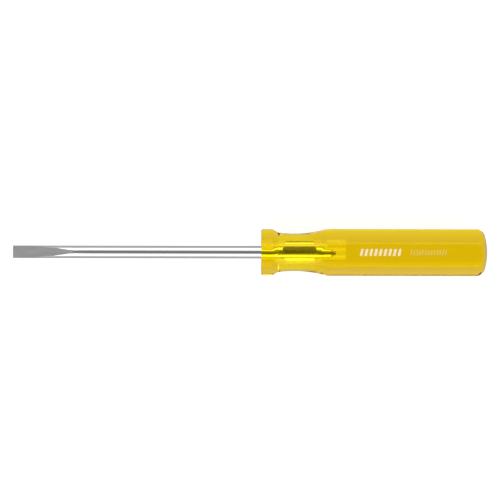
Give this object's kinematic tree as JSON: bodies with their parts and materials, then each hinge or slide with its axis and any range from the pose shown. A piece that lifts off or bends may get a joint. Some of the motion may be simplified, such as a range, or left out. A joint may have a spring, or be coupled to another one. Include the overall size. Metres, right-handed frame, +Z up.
{
  "type": "flat-tip screwdriver",
  "caption": "Flat-tip screwdriver with a slim round chromed blade and a transparent yellow hexagonal handle with a turned neck and a domed end.",
  "frame": {"origin": "on the surface that the handle rests on, below the middle of the overall length and width", "axes": "+X along the axis from the tip to the handle's domed end, +Z up out of the handle's upper flat, which carries the stamped marks"},
  "size_m": [0.191, 0.019, 0.0172],
  "materials": {
    "chromed_steel": "bright chrome plating on the round blade and the tang, matt grit-blasted faces on the tip",
    "yellow_acetate": "clear yellow cellulose acetate, polished",
    "white_foil": "hot-stamped foil",
    "pale_foil": "thin hot-stamped foil"
  },
  "bodies": {
    "root": {"blade": "chromed_steel", "handle": "yellow_acetate", "stamped_bars": "white_foil", "stamped_ticks": "pale_foil"}
  },
  "joints": []
}
